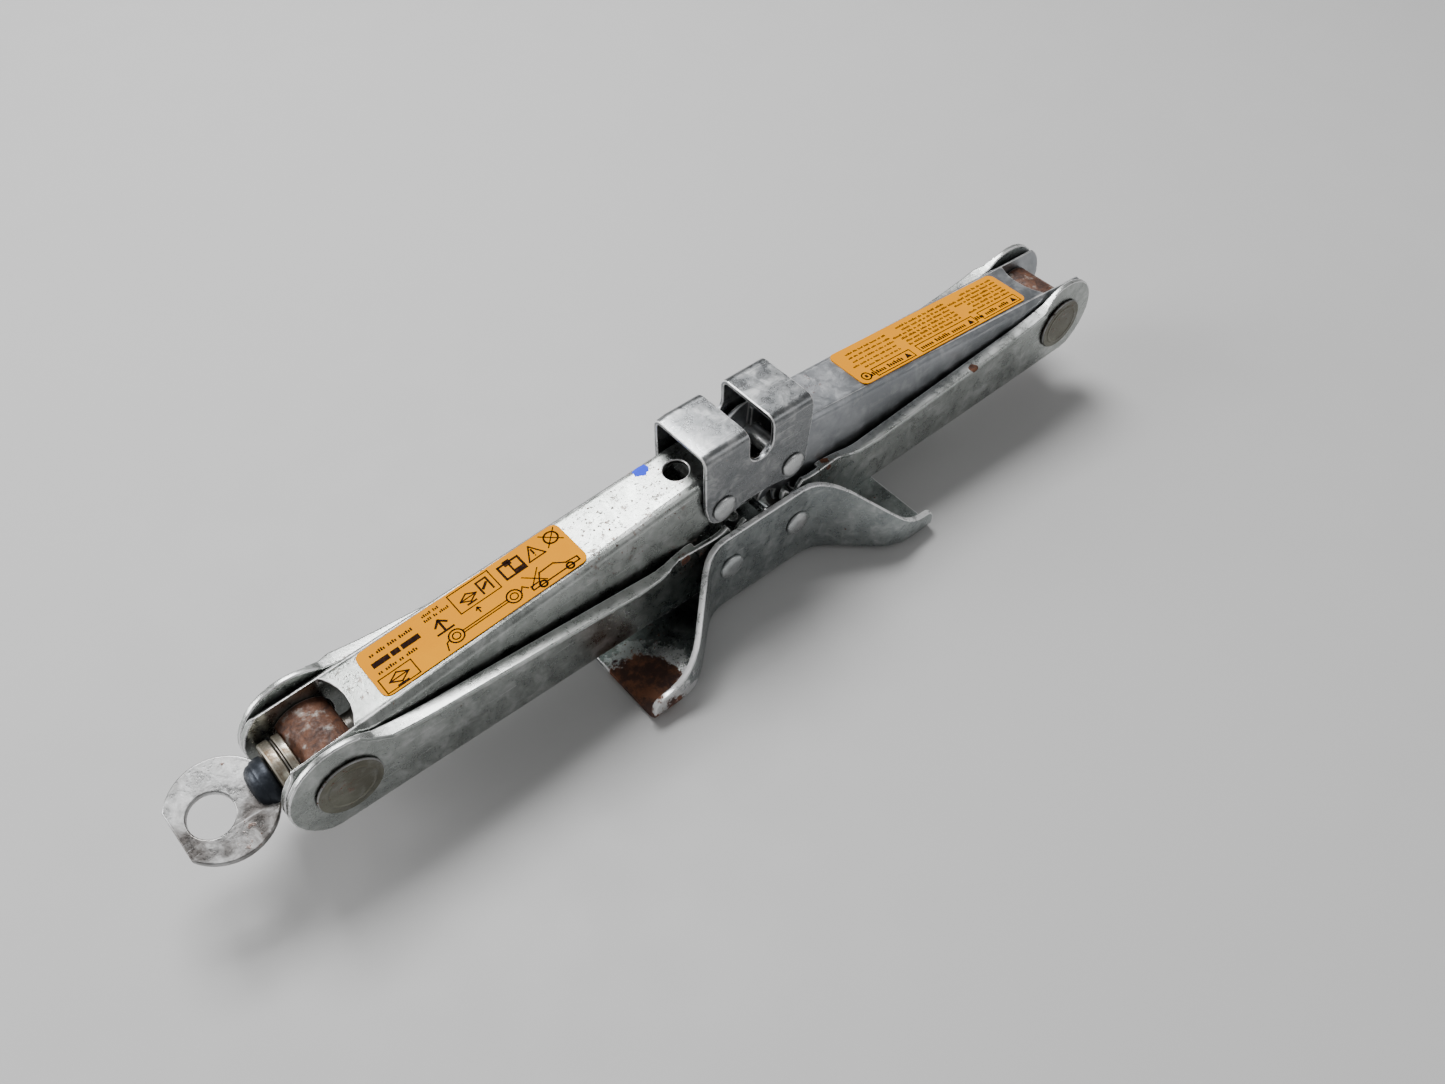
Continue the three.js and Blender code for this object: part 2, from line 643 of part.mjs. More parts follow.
// Each side of the jack is drawn pointing along +X; the left side is turned half round.
const SIDES = [
  { name: 'left', turn: Math.PI, firstTooth: TOOTH_ON_CENTRE, label: [83, 10.7, 56.5] },
  { name: 'right', turn: 0, firstTooth: GAP_ON_CENTRE, label: [101, 10.9, 41] },
];

for (const side of SIDES) {
  const half = new THREE.Group();
  half.rotation.z = side.turn;
  jack.add(half);

  const basePin = rivetPin(BASE_PIN_RADIUS, 5.6, baseWallY, 1.6);
  const saddlePin = rivetPin(SADDLE_PIN_RADIUS, 5.4, SADDLE_HALF_WIDTH, 1.5);
  place(half, `base_pin_${side.name}`, basePin, RIVET_STEEL, PIN_X, 0, BASE_PIN_Z);
  place(half, `saddle_pin_${side.name}`, saddlePin, RIVET_STEEL, PIN_X, 0, SADDLE_PIN_Z);

  const lower = place(half, `lower_arm_${side.name}`, lowerArm(side.firstTooth), ZINC, PIN_X, 0, BASE_PIN_Z);
  lower.rotation.y = -REST_ANGLE;

  const upperFrame = new THREE.Group();
  upperFrame.position.set(PIN_X, 0, SADDLE_PIN_Z);
  upperFrame.rotation.y = REST_ANGLE;
  half.add(upperFrame);
  place(upperFrame, `upper_arm_${side.name}`, upperArm(side.firstTooth), ZINC);
  const [length, halfWidth, start] = side.label;
  place(upperFrame, `label_${side.name}`, label(start, start + length, halfWidth), ORANGE_LABEL);
}

place(jack, 'trunnion_front', trunnion(SHANK_RADIUS + GAP), RUSTY_STEEL, -TRUNNION_X, 0, TRUNNION_Z);
place(jack, 'trunnion_nut', trunnion(SCREW_RADIUS + GAP), RUSTY_STEEL, TRUNNION_X, 0, TRUNNION_Z);

const spindle = new THREE.Group();
spindle.position.z = TRUNNION_Z;
spindle.rotation.x = EYE_TILT;
jack.add(spindle);
place(spindle, 'drive_screw', screw(), SCREW_STEEL);
place(spindle, 'drive_collar', collar(), DARK_COLLAR);
place(spindle, 'drive_eye', eye(), ZINC);

const innerWasher = ring(WASHER_RADIUS, INNER_WASHER_X, INNER_WASHER_THICKNESS);
const outerWasher = ring(WASHER_RADIUS, OUTER_WASHER_X, OUTER_WASHER_THICKNESS);
const bearing = ring(WASHER_RADIUS - 0.9, BEARING_X, BEARING_THICKNESS);
place(spindle, 'thrust_washer_inner', innerWasher, WASHER_STEEL);
place(spindle, 'thrust_bearing', bearing, DARK_COLLAR);
place(spindle, 'thrust_washer_outer', outerWasher, WASHER_STEEL);

export default jack;
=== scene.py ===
"""A collapsed scissor jack in zinc-plated pressed steel: its finer pieces, finishes, light and camera.

Metres, +Z up, +X along the screw from the drive eye to the nut. Every place comes from the CAD
frame: a piece is either the CAD node's own shape with its edges and bends rounded, or a new
piece put where that node is.
"""

import math
from random import Random

import bmesh
import bpy
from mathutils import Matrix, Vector
from mathutils.bvhtree import BVHTree


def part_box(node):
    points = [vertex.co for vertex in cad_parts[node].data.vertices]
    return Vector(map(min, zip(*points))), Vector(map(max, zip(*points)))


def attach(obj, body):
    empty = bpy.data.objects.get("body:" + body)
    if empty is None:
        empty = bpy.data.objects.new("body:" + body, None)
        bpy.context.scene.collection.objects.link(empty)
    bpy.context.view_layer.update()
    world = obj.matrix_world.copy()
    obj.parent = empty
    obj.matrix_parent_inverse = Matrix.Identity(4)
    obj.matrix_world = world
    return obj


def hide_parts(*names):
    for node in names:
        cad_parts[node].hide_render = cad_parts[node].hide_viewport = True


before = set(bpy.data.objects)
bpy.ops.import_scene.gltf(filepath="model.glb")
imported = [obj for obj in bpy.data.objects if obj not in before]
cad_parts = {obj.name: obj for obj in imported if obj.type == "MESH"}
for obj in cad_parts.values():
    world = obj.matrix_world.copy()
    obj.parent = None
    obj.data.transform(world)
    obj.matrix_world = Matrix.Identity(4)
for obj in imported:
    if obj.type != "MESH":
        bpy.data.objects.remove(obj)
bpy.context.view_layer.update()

MM = 0.001
TRUNNION_X = 180 * MM


# ---- Shader helpers -------------------------------------------------------------------------

SOCKETS = {"base_color": "Base Color", "metallic": "Metallic", "roughness": "Roughness",
           "specular": "Specular IOR Level"}
PATCH_SOLID = 0.26  # of a ragged patch's radius, how far out it stays whole
PATCH_GONE = 0.36   # of that radius, where it has faded away


class Finish:
    """A material and short ways to add nodes to it. Sockets or plain values may be passed in."""

    def __init__(self, name):
        self.material = bpy.data.materials.new(name)
        self.material.use_nodes = True
        self.tree = self.material.node_tree
        self.shader = self.tree.nodes["Principled BSDF"]
        self.place = self.node("ShaderNodeTexCoord").outputs["Object"]

    def node(self, kind, inputs=None, **settings):
        made = self.tree.nodes.new(kind)
        for key, value in settings.items():
            setattr(made, key, value)
        for key, value in (inputs or {}).items():
            self.set(made.inputs[key], value)
        return made

    def set(self, socket, value):
        if isinstance(value, bpy.types.NodeSocket):
            self.tree.links.new(value, socket)
        else:
            socket.default_value = value

    def surface(self, **values):
        for key, value in values.items():
            self.set(self.shader.inputs[SOCKETS[key]], value)

    def stretched(self, x, y, z):
        mapping = self.node("ShaderNodeMapping", {"Vector": self.place, "Scale": (x, y, z)})
        return mapping.outputs["Vector"]

    def noise(self, scale, detail=4, roughness=0.5, distortion=0, place=None):
        inputs = {"Vector": place or self.place, "Scale": scale, "Detail": detail,
                  "Roughness": roughness, "Distortion": distortion}
        return self.node("ShaderNodeTexNoise", inputs).outputs["Fac"]

    def cells(self, scale):
        return self.node("ShaderNodeTexVoronoi", {"Vector": self.place, "Scale": scale})

    def step(self, value, low, high, to_low=0.0, to_high=1.0):
        inputs = {0: value, 1: low, 2: high, 3: to_low, 4: to_high}
        return self.node("ShaderNodeMapRange", inputs, interpolation_type="SMOOTHSTEP").outputs[0]

    def maths(self, operation, a, b=0.0):
        return self.node("ShaderNodeMath", {0: a, 1: b}, operation=operation).outputs[0]

    def mix(self, factor, a, b):
        made = self.node("ShaderNodeMix", data_type="RGBA")
        self.set(made.inputs[0], factor)
        self.set(made.inputs[6], a)
        self.set(made.inputs[7], b)
        return made.outputs[2]

    def near(self, centre, radius, ragged):
        """1 inside a ragged round patch about a point (millimetres), falling to 0 outside it."""
        inputs = {0: self.place, 1: Vector(centre) * MM}
        away = self.node("ShaderNodeVectorMath", inputs, operation="DISTANCE").outputs["Value"]
        torn = self.maths("ADD", away, self.maths("MULTIPLY", ragged, -radius * MM))
        return self.step(torn, PATCH_SOLID * radius * MM, PATCH_GONE * radius * MM, 1.0, 0.0)

    def bump(self, height, distance, strength=1.0):
        inputs = {"Height": height, "Distance": distance, "Strength": strength}
        self.set(self.shader.inputs["Normal"], self.node("ShaderNodeBump", inputs).outputs[0])


def grey(level, tint=(1.0, 1.0, 1.0)):
    return (level * tint[0], level * tint[1], level * tint[2], 1.0)


# ---- Finishes -------------------------------------------------------------------------------

RUST_DARK = (0.05, 0.021, 0.015, 1.0)
RUST_LIGHT = (0.19, 0.075, 0.036, 1.0)
CRUSTED_FROM = 10  # a rust spot of a larger radius than this, in millimetres, has a crust
CRUST_REACH = 1.3  # of the rust spot's radius


def plated_steel(name, light, dark, edge, roughness=(0.2, 0.4), specks=0.7, rust_spots=(),
                 freckles=(), dabs=()):
    """Zinc plate on pressed steel: cloudy, finely spangled, scuffed, bright on its worn edges, and as
    bright on faces marked as a painted highlight. Rust spots, freckled areas and paint dabs are given
    as centres and radii in millimetres, and a large rust spot has a white crust round it."""
    f = Finish(name)
    clouds = f.noise(38, 7, 0.62, 0.6)
    patches = f.noise(150, 6, 0.68, 0.4)
    grains = f.cells(620).outputs["Color"]
    fine = f.noise(1500, 3, 0.6)
    scuffs = f.noise(40, 5, 0.7, 0.3, f.stretched(1, 26, 26))
    nicks = f.noise(300, 3, 0.55, 0.0, f.stretched(0.35, 2.2, 2.2))

    clouded = f.mix(f.step(clouds, 0.36, 0.64), dark, light)
    patched = f.mix(f.step(patches, 0.46, 0.7, 0.0, 0.32), clouded, edge)
    blotched = f.mix(f.step(patches, 0.24, 0.42, 0.25, 0.0), patched, dark)
    spangle = f.node("ShaderNodeSeparateColor", {"Color": grains}).outputs[0]
    spangled = f.mix(f.step(spangle, 0.0, 1.0, 0.0, 0.14), blotched, dark)
    scuffed = f.mix(f.step(scuffs, 0.6, 0.7, 0.0, 0.4), spangled, edge)
    # The "edge" attribute marks worn edges and also faces marked as a painted highlight, so rim and
    # worn carry both edge wear and painted highlight.
    rim = f.node("ShaderNodeAttribute", attribute_name="edge").outputs["Fac"]
    worn = f.maths("MULTIPLY", rim, f.step(patches, 0.3, 0.55, 0.35, 1.0))
    coloured = f.mix(worn, scuffed, edge)

    speckled = f.maths("MULTIPLY", f.step(f.noise(260, 4, 0.6), specks, specks + 0.05),
                       f.step(clouds, 0.45, 0.6))
    rust = speckled
    torn = f.noise(210, 6, 0.72)
    for centre, radius in rust_spots:
        if radius > CRUSTED_FROM:
            halo = f.near(centre, radius * CRUST_REACH, torn)
            coloured = f.mix(f.maths("MULTIPLY", halo, 0.9), coloured, edge)
        rust = f.maths("MAXIMUM", rust, f.near(centre, radius, torn))
    for centre, radius in freckles:
        dots = f.step(f.noise(780, 3, 0.6), 0.62, 0.67)
        smudges = f.step(f.noise(270, 5, 0.7), 0.57, 0.66, 0.0, 0.55)
        spots = f.maths("MULTIPLY", f.maths("MAXIMUM", dots, smudges),
                        f.near(centre, radius, patches))
        rust = f.maths("MAXIMUM", rust, spots)
    browns = f.mix(f.step(f.noise(150, 6, 0.75), 0.4, 0.6), RUST_DARK, RUST_LIGHT)
    coloured = f.mix(rust, coloured, browns)
    paint = None
    for centre, radius, colour in dabs:
        mask = f.near(centre, radius, f.noise(420, 3, 0.5))
        coloured = f.mix(mask, coloured, colour)
        paint = mask if paint is None else f.maths("MAXIMUM", paint, mask)
    dull = rust if paint is None else f.maths("MAXIMUM", rust, paint)

    sheen = f.step(f.maths("ADD", patches, f.maths("MULTIPLY", fine, 0.35)), 0.4, 0.9,
                   roughness[0], roughness[1])
    rough = f.maths("MAXIMUM", sheen, f.maths("MULTIPLY", dull, 0.8))
    sheared = f.maths("MULTIPLY", worn, 0.45)
    f.surface(base_color=coloured, roughness=rough,
              metallic=f.maths("MULTIPLY", f.step(dull, 0.2, 0.8, 1.0, 0.05),
                               f.maths("SUBTRACT", 1.0, sheared)))
    relief = f.maths("ADD", f.maths("MULTIPLY", fine, 0.22), f.maths("MULTIPLY", patches, 0.8))
    relief = f.maths("SUBTRACT", relief, f.step(nicks, 0.7, 0.76, 0.0, 0.5))
    relief = f.maths("ADD", relief, f.maths("MULTIPLY", rust, 0.5))
    f.bump(relief, 0.00012)
    return f.material


def rusty_steel(name, light, dark, bare):
    """Old turned steel: brown rust with darker pits and a little bare metal showing."""
    f = Finish(name)
    blots = f.noise(170, 7, 0.7, 0.8)
    pits = f.noise(900, 4, 0.6)
    brown = f.mix(f.step(blots, 0.36, 0.62), dark, light)
    showing = f.step(f.noise(170, 5, 0.6), 0.53, 0.68, 0.0, 0.8)
    rim = f.node("ShaderNodeAttribute", attribute_name="edge").outputs["Fac"]
    showing = f.maths("MAXIMUM", showing, f.maths("MULTIPLY", rim, 0.6))
    f.surface(base_color=f.mix(showing, brown, bare),
              metallic=f.step(showing, 0.1, 0.9, 0.15, 0.95),
              roughness=f.step(pits, 0.3, 0.7, 0.45, 0.8))
    f.bump(f.maths("ADD", blots, f.maths("MULTIPLY", pits, 0.4)), 0.0003)
    return f.material


def turned_steel(name, light, dark, roughness=(0.26, 0.5)):
    """A washer or screw: steel with faint turning marks, stains and a bright rim."""
    f = Finish(name)
    stains = f.noise(130, 6, 0.66, 0.5)
    marks = f.noise(260, 2, 0.5, 0.0, f.stretched(9, 1, 1))
    rim = f.node("ShaderNodeAttribute", attribute_name="edge").outputs["Fac"]
    stained = f.mix(f.step(stains, 0.36, 0.66), dark, light)
    f.surface(base_color=f.mix(f.maths("MULTIPLY", rim, 0.6), stained, light),
              metallic=0.95,
              roughness=f.step(stains, 0.3, 0.7, roughness[1], roughness[0]))
    f.bump(f.maths("ADD", marks, f.maths("MULTIPLY", stains, 0.6)), 0.00015)
    return f.material


def blued_steel(name, colour, worn):
    """Dark blued steel, worn paler in cloudy patches."""
    f = Finish(name)
    clouds = f.noise(120, 5, 0.6)
    fine = f.noise(1100, 3, 0.6)
    f.surface(base_color=f.mix(f.step(clouds, 0.5, 0.78, 0.0, 0.7), colour, worn),
              metallic=0.6, roughness=f.step(fine, 0.3, 0.7, 0.34, 0.5))
    f.bump(f.maths("ADD", fine, clouds), 0.00012)
    return f.material


def printed_foil(name, colour, faded):
    """A coated label: a slightly uneven colour with a matt, faintly fibrous surface."""
    f = Finish(name)
    clouds = f.noise(60, 5, 0.6)
    fibres = f.noise(1900, 2, 0.5)
    f.surface(base_color=f.mix(f.step(clouds, 0.4, 0.75, 0.0, 0.6), colour, faded),
              roughness=f.step(fibres, 0.3, 0.7, 0.45, 0.6),
              specular=0.0)
    f.bump(f.maths("ADD", fibres, f.maths("MULTIPLY", clouds, 2.0)), 0.00002)
    return f.material


def ink(name, colour, thin):
    """Rough printing ink, a little thinner in places."""
    f = Finish(name)
    f.surface(base_color=f.mix(f.step(f.noise(700, 4, 0.6), 0.5, 0.72), colour, thin),
              roughness=f.step(f.noise(1300, 2), 0.3, 0.7, 0.6, 0.75), specular=0.05)
    return f.material


ZINC = plated_steel(
    "zinc_plated_arms", grey(0.42, (0.95, 1.0, 0.96)), grey(0.3, (0.94, 1.0, 0.95)), grey(0.88),
    rust_spots=[((118, -20, 50), 2.6), ((-38, -16, 42), 3.0), ((36, -15, 42), 3.4)],
    freckles=[((-42, 2, 69), 20.0), ((-66, -6, 67), 20.0), ((-160, 6, 58), 14.0),
              ((36, -15, 42), 10.0), ((-36, -15, 42), 10.0)],
    dabs=[((-37.4, 8.8, 69), 3.8, (0.02, 0.06, 0.85, 1.0))])
ZINC_DULL = plated_steel(
    "zinc_plated_dull", grey(0.41, (0.97, 1.0, 1.05)), grey(0.28, (0.95, 1.0, 1.06)), grey(0.7),
    roughness=(0.28, 0.5), freckles=[((40, 4, 69), 9.0)])
# Painted shade: the same zinc plate as the arms, made darker, to hold down how lit the saddle's tops
# look.
SADDLE_ZINC_SHADED = plated_steel(
    "zinc_plated_saddle_shaded", grey(0.26, (0.97, 1.0, 1.02)), grey(0.18, (0.95, 1.0, 1.04)),
    grey(0.85), roughness=(0.2, 0.42))
EYE_ZINC = plated_steel(
    "zinc_plated_eye", grey(0.5, (0.99, 1.0, 1.0)), grey(0.13, (1.08, 1.0, 0.95)), grey(0.92),
    roughness=(0.2, 0.45), freckles=[((-212, -12, 37), 6.0)])
BASE_ZINC = plated_steel(
    "zinc_plated_base", grey(0.39, (0.93, 1.0, 0.99)), grey(0.29, (0.91, 1.0, 1.0)), grey(0.92),
    rust_spots=[((-70, -30, 2), 19.5), ((-73, 22, 2), 7.0)],
    freckles=[((-60, -14, 2), 16.0)])
RIVET = plated_steel("zinc_plated_rivet", grey(0.6), grey(0.45, (0.95, 1.0, 1.0)), grey(0.9))
JOURNAL = plated_steel(
    "stained_journal", grey(0.23, (1.0, 1.0, 0.82)), grey(0.12, (1.05, 1.0, 0.78)), grey(0.4),
    roughness=(0.32, 0.55), specks=0.62,
    freckles=[((-187, -19.4, 49), 16.0), ((178, -19.4, 48), 12.0)])
RUSTY = rusty_steel("rusty_trunnion", (0.14, 0.056, 0.028, 1.0), (0.046, 0.021, 0.015, 1.0),
                    grey(0.4, (1.05, 1.0, 0.93)))
SCREW = turned_steel("oiled_screw", grey(0.4, (1.04, 1.0, 0.92)), grey(0.16, (1.1, 0.95, 0.8)))
WASHER = turned_steel("washer_steel", grey(0.52, (1.06, 1.0, 0.84)), (0.15, 0.1, 0.06, 1.0))
BLUED = blued_steel("blued_collar", (0.022, 0.027, 0.036, 1.0), (0.09, 0.102, 0.125, 1.0))
FOIL = printed_foil("orange_label", (0.8, 0.3, 0.0, 1.0), (0.86, 0.34, 0.0, 1.0))
INK = ink("label_ink", (0.014, 0.005, 0.003, 1.0), (0.045, 0.017, 0.006, 1.0))


# ---- Mesh helpers ---------------------------------------------------------------------------

SHARP_DEGREES = 40      # a bend of more than this is an edge to round
SAME_PLANE_DEGREES = 0.5
SAME_POINT = 0.005 * MM
SHORT_EDGE = 0.05 * MM
SLIVER = 0.12 * MM
ASTRAY = 0.6            # of a rounding's width, off the surface it was cut from


def edge_layer(bm):
    return bm.faces.layers.float.get("edge") or bm.faces.layers.float.new("edge")


def round_edges(bm, edges, width, segments, marked=True):
    """Rounds edges off, and marks the new faces as a worn rim. A point that the rounding throws
    off the old surface is brought back to it."""
    layer = edge_layer(bm)
    before = BVHTree.FromBMesh(bm)
    made = bmesh.ops.bevel(bm, geom=edges, offset=width, segments=segments, profile=0.5,
                           affect="EDGES", clamp_overlap=False, loop_slide=True)
    for face in made["faces"]:
        face[layer] = 1.0 if marked else 0.0
    for vert in {v for face in made["faces"] for v in face.verts}:
        nearest, _, _, away = before.find_nearest(vert.co)
        if away > ASTRAY * width:
            vert.co = nearest


def sharp_edges(bm, wanted=None):
    limit = math.radians(SHARP_DEGREES)
    return [e for e in bm.edges if e.is_manifold and e.calc_face_angle(0.0) > limit
            and (wanted is None or wanted(e))]


def finish_piece(bm, name, body, nodes, material, smooth=SHARP_DEGREES):
    """Makes a shown piece from a bmesh, riding on a body in place of the CAD nodes named."""
    bmesh.ops.recalc_face_normals(bm, faces=bm.faces)
    if bm.calc_volume(signed=True) < 0:
        bmesh.ops.reverse_faces(bm, faces=bm.faces)
    mesh = bpy.data.meshes.new(name)
    bm.to_mesh(mesh)
    bm.free()
    mesh.materials.append(material)
    mesh.shade_smooth()
    mesh.set_sharp_from_angle(angle=math.radians(smooth))
    piece = bpy.data.objects.new(name, mesh)
    bpy.context.scene.collection.objects.link(piece)
    weighted = piece.modifiers.new("even_shading", "WEIGHTED_NORMAL")
    weighted.keep_sharp = True
    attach(piece, body)
    if nodes:
        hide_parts(*nodes)
    return piece


def drop_loose_edges(bm):
    bmesh.ops.delete(bm, geom=[e for e in bm.edges if not e.link_faces], context="EDGES")


def cad_mesh(node):
    """The CAD node's shape with its flat faces whole again and no spare points on its edges."""
    bm = bmesh.new()
    bm.from_mesh(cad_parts[node].data)
    bmesh.ops.remove_doubles(bm, verts=bm.verts, dist=SAME_POINT)
    bmesh.ops.dissolve_limit(bm, angle_limit=math.radians(SAME_PLANE_DEGREES), verts=bm.verts,
                             edges=bm.edges, use_dissolve_boundaries=False)
    bmesh.ops.dissolve_degenerate(bm, edges=bm.edges, dist=SLIVER)
    drop_loose_edges(bm)
    bmesh.ops.dissolve_verts(bm, verts=[v for v in bm.verts if len(v.link_edges) == 2])
    bmesh.ops.dissolve_degenerate(bm, edges=bm.edges, dist=SHORT_EDGE)
    drop_loose_edges(bm)
    return bm


def rounded_node(node, name, body, material, width, big=(), rim=None, rim_highlight_and_wear=1.0,
                 worn=True):
    """A CAD node with its sharp edges rounded; big holds (rule, width, segments) done first, and
    widths are in millimetres. The faces that the rim rule picks get the worn edges' bright colour
    too, as a painted highlight that is partly edge wear, and worn=False leaves the rounded edges
    plain. Rounding leaves some edges with no length, which are closed up."""
    bm = cad_mesh(node)
    for rule, big_width, segments in big:
        round_edges(bm, sharp_edges(bm, rule), big_width * MM, segments, marked=False)
    round_edges(bm, sharp_edges(bm), width * MM, 2, marked=worn)
    bmesh.ops.dissolve_degenerate(bm, edges=bm.edges, dist=SAME_POINT)
    drop_loose_edges(bm)
    # Painted highlight, partly edge wear: the faces that the rim rule picks by which way they face get
    # the bright worn-edge colour.
    if rim:
        layer = edge_layer(bm)
        for face in bm.faces:
            if rim(face.normal, face.calc_center_median()):
                face[layer] = rim_highlight_and_wear
    return finish_piece(bm, name, body, [node], material)


def lathe(bm, profile, steps, centre, axis):
    """A solid of revolution about an axis. The profile is (radius, height) pairs: it runs from one
    pole to the other, or it is closed on itself when it touches neither pole."""
    turn = axis.to_track_quat("Z", "X").to_matrix().to_4x4()
    turn.translation = centre
    rings = []
    for radius, height in profile:
        count = steps if radius > 0 else 1
        angles = [2 * math.pi * i / steps for i in range(count)]
        rings.append([bm.verts.new(turn @ Vector((radius * math.cos(a), radius * math.sin(a), height)))
                      for a in angles])
    pairs = list(zip(rings, rings[1:]))
    if profile[0][0] > 0:
        pairs.append((rings[-1], rings[0]))
    for low, high in pairs:
        for i in range(steps):
            j = (i + 1) % steps
            corners = [low[i % len(low)], low[j % len(low)], high[j % len(high)], high[i % len(high)]]
            bm.faces.new(list(dict.fromkeys(corners)))


def repaint(piece, material, wanted):
    """Gives a second material to the faces whose centre is wanted."""
    piece.data.materials.append(material)
    for face in piece.data.polygons:
        if wanted(face.center):
            face.material_index = 1


# ---- Arms, base and saddle ------------------------------------------------------------------

BASE_FLOOR_TOP = 2.6 * MM
BASE_BEND_Y = 17 * MM    # the base's long bends lie further out than this
LIP_Y = 19.2 * MM        # a lower arm's turned-out lip lies further out than this
LEVEL_SLACK = 0.05 * MM


def on_base_bend(height):
    """Picks the base's long edges at a height: its outer bottom corner or its inner one."""
    def rule(edge):
        ends = [v.co for v in edge.verts]
        level = all(abs(p.z - height) < LEVEL_SLACK and abs(p.y) > BASE_BEND_Y for p in ends)
        return level and abs(ends[0].x - ends[1].x) > 0.01 * MM
    return rule


def on_lip(edge):
    """Picks the edges of the lip that is turned out along a lower arm."""
    return all(abs(v.co.y) > LIP_Y for v in edge.verts)


for side, steel in (("left", ZINC), ("right", ZINC_DULL)):
    # Painted highlight: the lower arms' upward-facing faces more than 16 mm out (wall tops and
    # turned-out lips) get a quarter-strength mark of the bright edge colour.
    rounded_node(f"lower_arm_{side}", f"lower_arm_{side}_pressing", f"lower_{side}",
                 ZINC, 0.6, big=[(on_lip, 1.1, 4)],
                 rim=lambda normal, at: normal.z > 0.7 and abs(at.y) > 16 * MM, rim_highlight_and_wear=0.25)
    rounded_node(f"upper_arm_{side}", f"upper_arm_{side}_pressing", f"upper_{side}",
                 steel, 0.5)
# Partly edge wear, partly a painted highlight: the base's faces above 6 mm that don't face sideways
# (the flanges' top cut edges and ends) get the full bright edge colour.
rounded_node("base_plate", "base_pressing", "base", BASE_ZINC, 0.6,
             big=[(on_base_bend(0.0), 5.0, 5), (on_base_bend(BASE_FLOOR_TOP), 2.4, 4)],
             rim=lambda normal, at: abs(normal.y) < 0.4 and at.z > 6 * MM)
rounded_node("saddle", "saddle_pressing", "saddle", SADDLE_ZINC_SHADED, 0.45)


# ---- Rivets, trunnions and screw ------------------------------------------------------------

HEAD_RIM = 0.25       # of a rivet head's height, up to where its dome starts
HEAD_DOME = 0.73      # of that height, how far the dome rises
HEAD_FLAT = 0.3       # of its radius, the flattened top
JOURNAL_DEPTH = 1.4 * MM
RAISED_RING = [(7.9, -0.2), (8.2, 0.12), (8.8, 0.22), (9.4, 0.12), (9.7, -0.2)]
THREAD_PITCH = 3.5 * MM
THREAD_CREST = 6.95 * MM
THREAD_ROOT = 5.7 * MM
THREAD_SHAPE = [(0.0, THREAD_ROOT), (0.3, THREAD_ROOT), (0.45, THREAD_CREST), (0.85, THREAD_CREST)]
THREAD_JOIN = 0.004 * MM
THREAD_FROM_TRUNNION = 14 * MM
SHANK = [(0, 0), (5.2, 0), (6.0, 0.8), (6.0, 36.0), (6.6, 37.4), (6.6, 39.0), (0, 39.0)]
COLLAR_NOSE = [(0, 0), (8.0, 0), (8.8, 0.8), (8.9, 2.4), (8.6, 4.2), (8.0, 4.7), (8.0, 5.1),
               (7.7, 6.0), (6.6, 7.2), (4.8, 7.9), (2.4, 8.2), (0, 8.3)]


def in_metres(profile):
    return [(r * MM, h * MM) for r, h in profile]


def middle(node):
    low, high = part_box(node)
    return (low + high) / 2


def rivet(node, name, body, shank, head, head_height):
    """A rivet across the jack, closed over into a low dome with a flattened top on each side."""
    half_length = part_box(node)[1].y
    seat = half_length - head_height
    dome = [(head, seat), (head, seat + HEAD_RIM * head_height)]
    for degrees in range(15, 90, 15):
        angle = math.radians(degrees)
        dome.append((head * (HEAD_FLAT + (1 - HEAD_FLAT) * math.cos(angle)),
                     seat + head_height * (HEAD_RIM + HEAD_DOME * math.sin(angle))))
    half = [(shank, seat)] + dome + [(0, half_length)]
    profile = [(r, -h) for r, h in reversed(half)] + half
    bm = bmesh.new()
    lathe(bm, profile, 40, middle(node), Vector((0, 1, 0)))
    return finish_piece(bm, name, body, [node], RIVET)


for side in ("left", "right"):
    rivet(f"base_pin_{side}", f"base_rivet_{side}", "base", 4.5 * MM, 5.6 * MM, 1.6 * MM)
    rivet(f"saddle_pin_{side}", f"saddle_rivet_{side}", "saddle", 4 * MM, 5.4 * MM, 1.5 * MM)


def trunnion(node, body, name):
    """The CAD trunnion with a stained journal face and a low raised ring on each side."""
    steel = rounded_node(node, f"{name}_steel", body, RUSTY, 0.45)
    face_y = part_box(node)[1].y
    repaint(steel, JOURNAL, lambda centre: abs(centre.y) > face_y - JOURNAL_DEPTH)
    for label, way in (("near", -1), ("far", 1)):
        bm = bmesh.new()
        centre = Vector((middle(node).x, way * face_y, middle(node).z))
        lathe(bm, in_metres(RAISED_RING), 48, centre, Vector((0, way, 0)))
        finish_piece(bm, f"{name}_ring_{label}", body, [], JOURNAL)


trunnion("trunnion_front", "front_trunnion", "front_trunnion")
trunnion("trunnion_nut", "nut_trunnion", "nut_trunnion")


def threaded_bar(bm, start, end, height, steps=32):
    """A screw thread along X: each ring of points is sheared by one pitch a turn."""
    turns = math.ceil((end - start) / THREAD_PITCH) + 1
    rings = []
    for turn in range(-1, turns):
        for phase, radius in THREAD_SHAPE:
            ring = []
            for j in range(steps + 1):
                along = start + THREAD_PITCH * (turn + phase + j / steps)
                x = min(max(along, start), end)
                r = radius if start < along < end else THREAD_ROOT
                angle = 2 * math.pi * j / steps
                ring.append(bm.verts.new((x, r * math.cos(angle), height + r * math.sin(angle))))
            rings.append(ring)
    for low, high in zip(rings, rings[1:]):
        for j in range(steps):
            bm.faces.new((low[j], low[j + 1], high[j + 1], high[j]))
    bmesh.ops.remove_doubles(bm, verts=bm.verts, dist=THREAD_JOIN)
    bmesh.ops.dissolve_degenerate(bm, edges=bm.edges, dist=THREAD_JOIN)
    bmesh.ops.holes_fill(bm, edges=bm.edges, sides=0)


